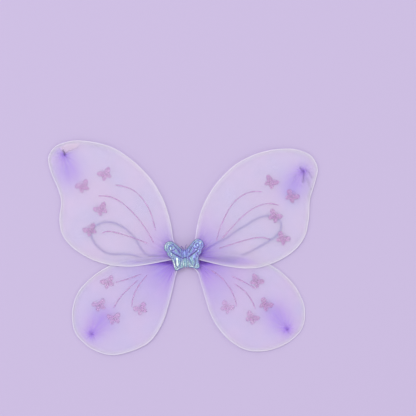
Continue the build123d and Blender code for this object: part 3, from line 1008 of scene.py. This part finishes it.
# strokes in the film of both halves, as (points out from the body and up, width, height)
strokes = [
    ([(2, 1.0), (7.5, 3.4), (11.8, 6.2), (17, 9.3), (21.8, 12.0), (26.5, 16.5)], 0.85, -1.5),
    ([(5, 9.4), (9, 13.4), (13, 18.6), (17.5, 24.2), (21.5, 29.6)], 0.7, -1.1),
    ([(18.4, 20.5), (21.3, 17.8), (27, 18.5), (29.9, 22.7), (28.4, 27.2), (24, 26.9),
      (22.5, 23.9), (25.4, 21.8)], 0.7, -1.1),
    ([(18.9, -0.5), (19.6, -6), (18.8, -11.5), (16.2, -15)], 0.8, -1.4),
    ([(6.4, -0.5), (8.8, -6), (13, -12.5)], 0.7, -1.1),
    ([(24, 11), (26, 6.5), (24.4, 1.5), (21.5, 3.5), (21.8, 7.6)], 0.6, -0.9),
    ([(31.6, 31), (34.2, 27.5), (33.8, 22.5)], 0.6, -0.7),
    ([(5.5, 4.8), (10, 8.8), (15, 13.8), (19, 17.6)], 2.1, 0.8),
    ([(14.6, 1.6), (15.4, -4), (14.6, -9.5)], 1.5, 1.2),
    ([(9.8, 1.5), (11.6, -3), (12.4, -8)], 0.9, 0.6),
    ([(8, 15.5), (13, 21.5), (18, 27.5)], 0.9, 0.6),
    ([(22.6, -14), (23.2, -8), (22.6, -2)], 0.9, 0.7),
]
# round bumps, as (out, up, radius, height)
knobs = [(25.6, 22.4, 1.5, 0.9), (32.2, 25.4, 1.1, 0.7), (29.4, 30.4, 1.5, 0.7),
         (23.4, 31.6, 1.2, 0.5), (34.6, 30, 1.0, 0.5), (25.4, 12, 1.3, 0.7),
         (22.6, 5.2, 1.3, 0.6), (21.6, -13.5, 1.2, 0.6), (31, 16.6, 1.2, 0.5)]


def ornamentPlace():
    return (Matrix.Translation((*ornament["origin"], 0))
            @ Matrix.Rotation(math.radians(ornament["turn"]), 4, "Z"))


def halfPlace(side):
    # the half's own plane, in millimetres
    return (ornamentPlace() @ Matrix.Translation((side * ornament["seamX"], 0, ornament["seamZ"]))
            @ Matrix.Rotation(math.radians(-side * ornament["lift"]), 4, "Y"))


def placed(points, matrix):
    m = np.array(matrix)
    return (np.asarray(points) @ m[:3, :3].T + m[:3, 3]) * mm


def inPlane(points, matrix):
    # places in plan on the matrix's own plane, the way back from placed
    m = np.array(matrix.inverted())
    return (points / mm @ m[:3, :3].T + m[:3, 3])[:, :2]


def embossing(side, xy, edge):
    # height of the front film over the half's plane, how strongly its grooves are darkened (painted shade,
    # with the film's own darker seam line at the edge), and how strongly its raised parts are lightened
    # (painted highlight)
    out = np.c_[side * xy[:, 0] + ornament["seamX"], xy[:, 1]]
    film, top, seamTop = (ornament[key] for key in ("film", "top", "seamTop"))
    dome = film + 0.4 + (top - film - 0.4) * (1 - np.exp(-edge / 2.4))
    rise = side * xy[:, 0]
    limit = seamTop + (top - seamTop) * np.clip(rise / ornament["swell"], 0, 1)
    height = -0.5 * np.log(np.exp(-2 * dome) + np.exp(-2 * limit) + 1e-9)
    ridge = np.zeros(len(xy))
    free = np.clip(rise / 7, 0, 1) * np.clip(edge / 1.5, 0, 1)
    groove = np.zeros(len(xy))
    for line, width, raised in strokes:
        press = bell(distanceTo(out, rounded(line), closed=False), width)
        height += raised * press * free
        # pressed grooves get painted shade, raised strokes get painted highlight
        if raised < 0:
            groove = np.maximum(groove, press * min(1, -raised))
        else:
            ridge = np.maximum(ridge, press**2 * raised)
    for x, y, radius, raised in knobs:
        bump = raised * bell(np.linalg.norm(out - (x, y), axis=1), radius)
        height += bump * free
        ridge = np.maximum(ridge, bump)
    # raised scalloped border with a groove inside it
    scallop = 1 + 0.25 * np.sin(out[:, 0] * 1.1 + out[:, 1] * 1.3)
    bead = scallop * bell(edge - 2.2, 0.8) * np.clip(rise / 4, 0, 1)
    height += ornament["bead"] * bead
    trench = bell(edge - 4.0, 0.6) * np.clip(rise / 6, 0, 1)
    height -= 0.8 * trench
    # painted shade in the trench inside the border; the darker line along the very edge is the film's seam;
    # painted highlight on the bead
    groove = np.maximum(groove, 0.7 * trench)
    groove = np.maximum(groove, np.clip(1.5 - edge / 0.9, 0, 1) * np.clip(rise / 2, 0, 1))
    ridge = np.maximum(ridge, 0.45 * bead)
    return np.maximum(height, film + 0.12), groove, ridge


def slab(name, xy, faces, rim, top, bottom, matrix):
    # a closed piece between two heights over the same triangles
    low = len(xy)
    verts = np.vstack([np.c_[xy, top], np.c_[xy, bottom]])
    sheets = list(faces) + [tuple(low + i for i in reversed(f)) for f in faces]
    sheets += [(a, low + a, low + b, b) for a, b in zip(rim, rim[1:] + rim[:1])]
    return cleanNormals(newObject(name, placed(verts, matrix), sheets), 1e-8)


def makeHalf(name, side, shiny, backing, stuffing):
    matrix, film = halfPlace(side), ornament["film"]
    outline = inPlane(plateOutline(f"ornament_{name}_back_film"), matrix)
    polygon = resample(outline, 0.7, closed=True)
    grid = staggered(polygon.min(0), polygon.max(0), ornament["step"])
    grid = grid[inside(grid, polygon)]
    grid = grid[distanceTo(grid, polygon) > 0.3]
    xy, faces, where = triangulate(polygon, grid)
    rim = [where[i] for i in range(len(polygon))]
    edge = distanceTo(xy, polygon)
    height = embossing(side, xy, edge)[0]
    inner = np.maximum(height - film, film + 0.02)
    front = slab(f"ornament_{name}_puffed_film", xy, faces, rim, height, inner, matrix)
    flat = inPlane(np.array([v.co for v in front.data.vertices]), matrix)
    groove, ridge = embossing(side, flat, distanceTo(flat, polygon))[1:]
    normals = np.array([v.normal for v in front.data.vertices])
    # painted light: slopes facing the upper left are lightened
    lean = normals @ np.array([-0.55, 0.5, 0.0])
    out = np.c_[side * flat[:, 0] + ornament["seamX"], flat[:, 1]]
    panel = bell(distanceTo(out, [(5, 4), (10, 8.6), (15, 13.6), (20, 17.5)], closed=False), 4.2)
    cloudy = np.sin(out[:, 0] * 0.55 + side) * np.sin(out[:, 1] * 0.42 + 1)
    # the bluer upper panel and the tealer lower half are the film's own colours; the right half is made
    # darker and more violet, partly its own colour and partly painted shade; raised parts are painted
    # lighter as painted highlight, more on the left half
    tone = 0.6 - 0.18 * panel + 0.15 * np.clip(-out[:, 1] / 12, -0.5, 1) - 0.08 * side
    tone += 0.2 * ridge * (1.1 - side * 0.45) + 0.55 * lean + 0.12 * cloudy
    # painted highlights along the glint lines
    for line, width in glints[name]:
        away = distanceTo(out, line, closed=False)
        tone = np.maximum(tone, 1.05 * np.exp(-(away / width) ** 4))
    setAttribute(front, "tone", np.clip(tone, 0, 1))
    setAttribute(front, "groove", groove)
    finish(front, shiny, f"ornament_{name}_half", [f"ornament_{name}_front_film"])
    filler = np.maximum(height - film - 0.04, film + 0.015)
    filler = np.where(edge < 0.5, film + 0.012, filler)
    foam = slab(f"ornament_{name}_filling", xy * 0.985 + 0.015 * xy.mean(0), faces, rim, filler,
                np.full(len(xy), film + 0.004), matrix)
    finish(foam, stuffing, f"ornament_{name}_half", [f"ornament_{name}_foam"])
    wrinkle = 0.05 * np.sin(xy[:, 0] * 1.7) * np.sin(xy[:, 1] * 1.3) * np.clip(edge / 2, 0, 1)
    back = slab(f"ornament_{name}_backing", xy, faces, rim, np.full(len(xy), film),
                wrinkle + 0.02 + 0.03 * bell(edge - 1.2, 0.3), matrix)
    finish(back, backing, f"ornament_{name}_half", [f"ornament_{name}_back_film"])


def filmLook():
    s = Shader("iridescentFilm")
    tone, groove = s.attribute("tone"), s.attribute("groove")
    ripple = s.math("MULTIPLY", s.math("SUBTRACT", s.noise(260, 3, 0.6), 0.5), 0.5)
    shade = s.math("ADD", tone, ripple, clamp=True)
    # the ramp's near-white top shows the painted highlights
    color = s.ramp(shade, [(0.0, rgb(122, 92, 168)), (0.2, rgb(130, 112, 192)),
                           (0.4, rgb(132, 144, 216)), (0.55, rgb(140, 160, 212)),
                           (0.7, rgb(144, 178, 198)), (0.86, rgb(152, 192, 190)),
                           (1.0, rgb(240, 252, 250))])
    # painted shade in the grooves, with the film's own darker seam line at the edge
    color = s.mix(s.math("MULTIPLY", groove, 0.85), color, rgb(104, 72, 156))
    pores = s.noise(1900, 2)
    s.put(Base_Color=color, Metallic=0.55, Roughness=s.remap(s.noise(700, 2), 0.3, 0.7, 0.16, 0.34),
          Coat_Weight=0.8, Coat_Roughness=0.08, Specular_IOR_Level=0.6)
    s.bump(s.math("ADD", s.math("MULTIPLY", pores, 0.5), s.noise(420, 2)), 0.35, 0.00025)
    return s.material


def plainFilmLook():
    s = Shader("backFilm")
    s.put(Base_Color=s.mix(s.noise(120, 3), rgb(160, 146, 206), rgb(178, 166, 220)),
          Roughness=0.35, Metallic=0.3)
    s.bump(s.noise(500, 2), 0.4, 0.0002)
    return s.material


film, backing = filmLook(), plainFilmLook()
foam = twoToneLook("paleFoam", lambda s: s.cells(1400.0), (206, 198, 220), (236, 230, 244),
                   (0.6, 0.0003), 0.95)
for name, side in (("left", -1), ("right", 1)):
    makeHalf(name, side, film, backing, foam)


ridgeBody = {
    "length": 34.2,
    "width": 7.6,
    "tall": 4.876,
    "base": 12.2,
    "middle": 1.2,
    "rows": 110,
    "columns": 26,
}
feelers = {
    "left": [(-1.2, 16.4), (-1.9, 19), (-2.6, 21.4), (-4.0, 24.0), (-5.6, 25.2), (-6.2, 23.9),
             (-5.3, 22.9)],
    "right": [(1.3, 16.4), (1.6, 19), (1.9, 21.6), (2.8, 24.6), (4.6, 26.8), (6.0, 26.6)],
    "radius": 0.72,
    "level": 15.0,
    "rise": 1.1,
}


def bodyHeight(x, y, half):
    # a rounded ridge with a plump thorax, and rings pressed round the tail end
    across = max(0.0, 1 - abs(x / half) ** 2.4) ** 0.5
    swell = 0.82 + 0.22 * bell(y - 9, 5) + 0.1 * bell(y + 7, 7)
    rings = 0.1 * math.cos(y * 1.9) * (1 if y < 0 else 0.15)
    return across * (swell + rings - 0.36 * bell(y - 1.6, 0.9))


def makeBody(material):
    length, width, base, middle = (ridgeBody[key] for key in ("length", "width", "base", "middle"))
    rows, columns = ridgeBody["rows"], ridgeBody["columns"]
    verts, tone, groove = [], [], []
    for i in range(rows + 1):
        y = -length / 2 + length * i / rows
        end = math.sqrt(max(0.02, 1 - (abs(y) / (length / 2)) ** 5))
        half = width / 2 * end * (0.86 + 0.14 * bell(y - 8, 6) + 0.12 * bell(y + 9, 6))
        for j in range(columns + 1):
            x = -half * math.cos(math.pi * j / columns)
            high = bodyHeight(x, y, half * 1.001) * ridgeBody["tall"] * end
            verts.append((x, y + middle, base + max(high, 0)))
            # painted shade in the waist dent and along the sides; the left side and the ring crests are
            # painted lighter as painted light; the thorax's lighter colour is its own
            groove.append(min(1, bell(y - 1.6, 0.9) + 0.5 * bell(abs(x) - half, 0.5)))
            tone.append(0.48 + (0.24 if y < 1 else 0) - 0.12 * x / half + 0.1 * math.cos(y * 1.9))
    k = columns + 1
    faces = turnedOver(bandFaces(rows + 1, k)) + [end[::-1] for end in endFaces(rows + 1, k)]
    obj = newObject("ornament_ridge", placed(verts, ornamentPlace()), faces)
    setAttribute(obj, "tone", tone)
    setAttribute(obj, "groove", groove)
    cleanNormals(obj, 1e-8)
    finish(obj, material, "hub", ["ornament_body"])
    # feelers curl up from the head
    for label in ("left", "right"):
        path = resample(rounded(feelers[label]), 0.35)
        t = np.linspace(0, 1, len(path))
        route = placed(np.c_[path, feelers["level"] + feelers["rise"] * np.sin(t * 2.6)], ornamentPlace())
        radii = feelers["radius"] * (1 - 0.4 * t) * np.where(t < 0.05, 0.8, 1)
        feeler = joined(f"feeler_{label}", [tube(route, radii * mm, 12, flat=0.75)])
        setAttribute(feeler, "tone", np.full(len(feeler.data.vertices), 0.2))
        setAttribute(feeler, "groove", np.full(len(feeler.data.vertices), 0.5))
        finish(feeler, material, "hub", [f"antenna_{label}"])


seamFilm = {
    "low": -15.4,
    "height": 34.6,
    "inner": 2.4,
    "width": 4.5,
    "rib": 4.3,
    "ribHeight": 0.45,
    "thick": (0.35, 0.07),
    "bends": (3.9, 5.3),  # how far out the film starts and ends its bend
    "level": 13.5,
    "rows": 90,
    "columns": 22,
}


def makeSeamFilm(name, side, material):
    # film running from the body onto a half, bent to meet the half at its resting lift
    matrix, lift = ornamentPlace(), math.radians(ornament["lift"])
    rows, columns = seamFilm["rows"], seamFilm["columns"]
    thickest, thinnest = seamFilm["thick"]
    slope = (ornament["top"] - ornament["seamTop"]) / ornament["swell"]
    top, bottom, ridges, pressed = [], [], [], []
    for i in range(rows + 1):
        y = seamFilm["low"] + seamFilm["height"] * i / rows
        tuck = min(1.0, 3 * i / rows + 0.2, 3 * (rows - i) / rows + 0.35)
        for j in range(columns + 1):
            x = seamFilm["inner"] + seamFilm["width"] * tuck * j / columns
            rise = max(0.0, x - ornament["seamX"])
            over = ornament["seamTop"] + slope * rise + 0.1
            rib = bell(x - seamFilm["rib"], 0.55) * (1 if y < 0 else 0.4)
            z = ornament["seamZ"] + rise * math.sin(lift) + over * math.cos(lift)
            z += seamFilm["ribHeight"] * rib
            top.append((side * x, y, z))
            bottom.append((side * x, y, z - thickest + (thickest - thinnest) * j / columns))
            ridges.append(rib)
            pressed.append(bell(x - 5.7, 0.5) + bell(x - 3.1, 0.5) + bell(y - 1.3, 0.8))
    k, low = columns + 1, len(top)
    sheets = bandFaces(rows + 1, k, loop=False)
    edge = [*range(k), *[i * k + columns for i in range(1, rows + 1)],
            *[rows * k + j for j in range(columns - 1, -1, -1)], *[i * k for i in range(rows - 1, 0, -1)]]
    faces = sheets + [tuple(low + i for i in reversed(f)) for f in sheets]
    faces += [(b, a, low + a, low + b) for a, b in zip(edge, edge[1:] + edge[:1])]
    obj = newObject(f"ornament_{name}_seam_film", placed(np.array(top + bottom), matrix), faces)
    heights = np.array([p[1] for p in top + bottom])
    # painted highlight on the rib and painted shade along the pressed lines; the lighter lower end is the
    # film's own colour
    tone = 0.5 + 0.25 * np.clip(-heights / 8, -0.6, 1) + 0.3 * np.array(ridges * 2)
    setAttribute(obj, "tone", np.clip(tone, 0, 1))
    setAttribute(obj, "groove", np.clip(np.array(pressed * 2), 0, 1))
    cleanNormals(obj, 1e-8)
    obj.data.materials.append(material)
    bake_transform(obj)


makeBody(film)
for name, side in (("left", -1), ("right", 1)):
    makeSeamFilm(name, side, film)
print("ornament made")


# hub: padded felt back, stitches and straps' tabs; its card core and tape follow below

hub = {
    "padSize": (34.0, 28.0),
    "padCorner": 6.0,
    "padHeight": 3.0,
    "ringPoints": 160,
    "stitchGap": 2.6,
    "stitchLength": 2.3,
    "stitchRadius": 0.24,
    "tabRows": 3,
    "tabStart": 17.05,
    "tabLength": 3.9,
    "tabSize": (4.8, 2.75),
    "tabLevel": 1.45,
}
# the pad's edge, as (in from its outline, up)
padProfile = [(2.6, 0.0), (2.0, 0.14), (1.2, 0.14), (0.7, 0.12), (0.35, 0.35), (0.05, 0.9), (0.0, 1.5),
              (0.05, 2.1), (0.35, 2.62), (1.0, 2.9), (2.2, 2.98), (4.5, 2.99), (8, 2.99), (12.5, 2.99)]


def padRing(inset):
    # the pad's outline in plan, moved in
    width, depth = hub["padSize"]
    w, d, r = width / 2 - inset, depth / 2 - inset, max(0.4, hub["padCorner"] - inset)
    points = []
    for cx, cy, start in ((w - r, d - r, 0), (r - w, d - r, 90), (r - w, r - d, 180), (w - r, r - d, 270)):
        for a in np.radians(np.linspace(start, start + 90, 12)):
            points.append((cx + r * math.cos(a), cy + r * math.sin(a)))
    return resample(points, 2 * (width + depth) / hub["ringPoints"], closed=True)


def makePad(felt):
    rows, count = len(padProfile), len(padRing(0))
    fuzz = np.random.default_rng(4).normal(0, 0.035, (rows, count))
    verts = []
    for (inset, z), noise in zip(padProfile, fuzz):
        ring = padRing(inset + 0.05)
        if len(ring) != count:  # every row needs the same number of points
            ring = resample(ring, 1, closed=True)
            spots = np.linspace(0, len(ring), count, endpoint=False)
            stops = np.arange(len(ring) + 1)
            ring = np.stack([np.interp(spots, stops, np.r_[way, way[:1]]) for way in ring.T], axis=1)
        dent = 0.12 * bell(inset - 1.6, 0.5) if z > 1.5 else 0
        level = np.full(count, z) + noise * 0.4 * (0 < z < 2.95) - dent
        verts.append(np.c_[ring * (1 + noise[:, None] * 0.02), level])
    faces = bandFaces(rows, count) + endFaces(rows, count)
    corner = np.array([*hub["padSize"], 0]) / 2
    verts = np.clip(np.vstack(verts), -corner, corner + (0, 0, hub["padHeight"]))
    pad = joined("felt_pad", [(verts * mm, faces)])
    finish(pad, felt, "hub", ["back_pad"])


def stitchTree():
    # short thread stitches set along a line, one to each step, slanted across it
    tree, add, given = startGroup("stitchRow", Gap="Float", Length="Float", Radius="Float", Slant="Float",
                                  Seed="Int", Thread_Material="Material")
    curve = add("GeometryNodeMeshToCurve", Mesh=given["Geometry"]).outputs[0]
    steps = add("GeometryNodeResampleCurve", {"mode": "LENGTH"}, Curve=curve,
                Length=given["Gap"]).outputs[0]
    tangent = add("GeometryNodeInputTangent").outputs[0]
    aligned = add("FunctionNodeAlignRotationToVector", {"axis": "X"}, Vector=tangent).outputs[0]
    low = add("ShaderNodeMath", {"operation": "SUBTRACT"}, i0=given["Slant"], i1=0.12).outputs[0]
    high = add("ShaderNodeMath", {"operation": "ADD"}, i0=given["Slant"], i1=0.12).outputs[0]
    lean = add("FunctionNodeRandomValue", {"data_type": "FLOAT"}, i2=low, i3=high,
               Seed=given["Seed"]).outputs[1]
    euler = add("ShaderNodeCombineXYZ", Z=lean).outputs[0]
    swing = add("FunctionNodeEulerToRotation", Euler=euler).outputs[0]
    turned = add("FunctionNodeRotateRotation", {"rotation_space": "LOCAL"}, i0=aligned, i1=swing).outputs[0]
    ball = add("GeometryNodeMeshUVSphere", Segments=10, Rings=8, Radius=1.0).outputs["Mesh"]
    half = add("ShaderNodeMath", {"operation": "MULTIPLY"}, i0=given["Length"], i1=0.5).outputs[0]
    size = add("ShaderNodeCombineXYZ", X=half, Y=given["Radius"], Z=given["Radius"]).outputs[0]
    laid = add("GeometryNodeInstanceOnPoints", Points=steps, Instance=ball, Rotation=turned,
               Scale=size).outputs[0]
    real = add("GeometryNodeRealizeInstances", Geometry=laid).outputs[0]
    done = add("GeometryNodeSetMaterial", Geometry=real, Material=given["Thread Material"]).outputs[0]
    add("NodeGroupOutput", Geometry=done)
    return tree


def seam(name, points, slant, closed=False, **changes):
    # a row of stitches through points in millimetres
    count = len(points)
    mesh = bpy.data.meshes.new(name)
    edges = [(i, (i + 1) % count) for i in range(count if closed else count - 1)]
    mesh.from_pydata([tuple(np.array(p) * mm) for p in points], edges, [])
    guide = bpy.data.objects.new(f"{name}_guide", mesh)
    values = dict(Gap=hub["stitchGap"] * mm, Length=hub["stitchLength"] * mm,
                  Radius=hub["stitchRadius"] * mm, Slant=slant, Seed=3, Thread_Material=thread)
    values.update(changes)
    row = grown(name, guide, stitches, **values)
    bpy.data.objects.remove(guide)
    row.data.shade_smooth()
    finish(row, thread, "hub")


def makeTab(name, side, ends, elasticMaterial):
    # each strap's end is flattened, folded under and bar-tacked
    bits, rows, columns = [], 18, 14
    width, height = hub["tabSize"]
    for y in ends:
        verts = []
        for i in range(rows + 1):
            t = i / rows
            x = side * (hub["tabStart"] + hub["tabLength"] * t)
            tall = height * (1 - 0.25 * bell(t - 0.3, 0.12) - 0.2 * bell(t - 0.7, 0.1))
            wide = width * (1 - 0.3 * t**3)
            for j in range(columns):
                a = 2 * math.pi * j / columns
                c, s = math.cos(a), math.sin(a)
                verts.append((x, y + wide / 2 * math.copysign(abs(c) ** 0.45, c),
                              hub["tabLevel"] + tall / 2 * math.copysign(abs(s) ** 0.6, s)))
        bits.append((np.array(verts) * mm, bandFaces(rows + 1, columns) + endFaces(rows + 1, columns)))
    tabs = joined(f"{name}_tab_ends", bits)
    finish(tabs, elasticMaterial, "hub", [f"{name}_strap_tabs"])


def feltLook():
    s = Shader("woolFelt")
    fibres = s.noise(1400, 4, 0.75, stretch=(1, 2.5, 1))
    clumps = s.noise(180, 3)
    wool = s.mix(clumps, rgb(150, 126, 198), rgb(166, 142, 210))
    s.put(Base_Color=s.mix(fibres, wool, rgb(196, 178, 230)),
          Roughness=0.95, Sheen_Weight=0.5, Sheen_Roughness=0.6)
    s.bump(fibres, 0.8, 0.0004)
    return s.material


felt = feltLook()
makePad(felt)
stitches = stitchTree()
edge = padRing(1.5)
seam("pad_stitches_under", np.c_[edge, np.full(len(edge), 0.2)], 1.1, closed=True)
for name, side in (("left", -1), ("right", 1)):
    ends = (straps[name][0][1], straps[name][-1][1])
    makeTab(name, side, ends, elastic)
    for number, y in enumerate(ends):
        for row in range(hub["tabRows"]):
            x = side * (17.9 + 1.0 * row)
            across = [(x, y - 1.6, 2.6), (x, y, 2.66), (x, y + 1.6, 2.6)]
            seam(f"{name}_bar_tack_{number}_{row}", across, 0.5,
                 Gap=0.8 * mm, Length=1.1 * mm, Radius=0.16 * mm)
print("hub sewn")


# soft solids of the hub, and the plain parts' finishes

def softened(node, name, material, wear):
    # a solid with eased edges and a slightly uneven surface
    obj = bpy.data.objects.new(name, nodes[node].data.copy())
    bpy.context.scene.collection.objects.link(obj)
    cleanNormals(obj, 1e-6)
    ease = obj.modifiers.new("ease", "BEVEL")
    ease.width = 0.3 * mm
    ease.segments = 3
    ease.limit_method = "ANGLE"
    ease.angle_limit = math.radians(40)
    applyModifiers(obj)
    bm = bmesh.new()
    bm.from_mesh(obj.data)
    bmesh.ops.triangulate(bm, faces=bm.faces)
    for _ in range(5):
        long = [e for e in bm.edges if e.calc_length() > 1.4 * mm]
        if not long:
            break
        bmesh.ops.subdivide_edges(bm, edges=long, cuts=1)
        bmesh.ops.triangulate(bm, faces=bm.faces)
    bm.normal_update()
    for v in bm.verts:
        x, y, z = v.co / mm
        uneven = 0.5 + 0.25 * math.sin(x * 1.9 + z) + 0.25 * math.sin(y * 1.6 - x * 0.4)
        v.co -= v.normal * wear * mm * uneven
    bm.to_mesh(obj.data)
    bm.free()
    obj.data.shade_smooth()
    finish(obj, material, "hub", [node])


def coatingLook():
    s = Shader("wireCoating")
    wear = s.noise(90, 4, 0.65)
    fine = s.noise(1300, 2, stretch=(1, 1, 0.3))
    s.put(Base_Color=s.mix(wear, rgb(206, 196, 226), rgb(224, 216, 238)),
          Roughness=s.remap(fine, 0.3, 0.7, 0.38, 0.55), Coat_Weight=0.15)
    s.bump(fine, 0.15, 0.0001)
    return s.material


def crimpLook():
    s = Shader("crimpedAluminium")
    drawn = s.noise(700, 3, 0.6, stretch=(4, 0.4, 4))
    dents = s.wave("Y", 130.0)
    s.put(Base_Color=s.mix(drawn, rgb(176, 176, 184), rgb(206, 206, 212)), Metallic=1.0,
          Roughness=s.remap(drawn, 0.3, 0.7, 0.28, 0.5))
    s.bump(s.remap(dents, 0.8, 1.0), 0.6, 0.0003)
    return s.material


tape = twoToneLook("clothTape", lambda s: s.math("MAXIMUM", *(s.wave(way, 560.0) for way in "XY")),
                   (150, 128, 198), (186, 166, 224), (0.5, 0.0002), 0.7, Sheen_Weight=0.25)
card = twoToneLook("plainCard", lambda s: s.noise(900, 4, 0.7, stretch=(1, 3, 1)),
                   (184, 174, 160), (214, 206, 192), (0.4, 0.0002), 0.9)
softened("hub_cover", "hub_tape_wrap", tape, 0.12)
softened("glue_pad", "glue_foam_pad", foam, 0.1)
finishes = {"wire": coatingLook(), "ferrule": crimpLook(), "sleeve": card, "core": card}
for node, obj in nodes.items():
    look = finishes.get(node.split("_")[-1])
    if look and "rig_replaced" not in obj:
        obj.data.materials.clear()
        obj.data.materials.append(look)
print("finishes set")
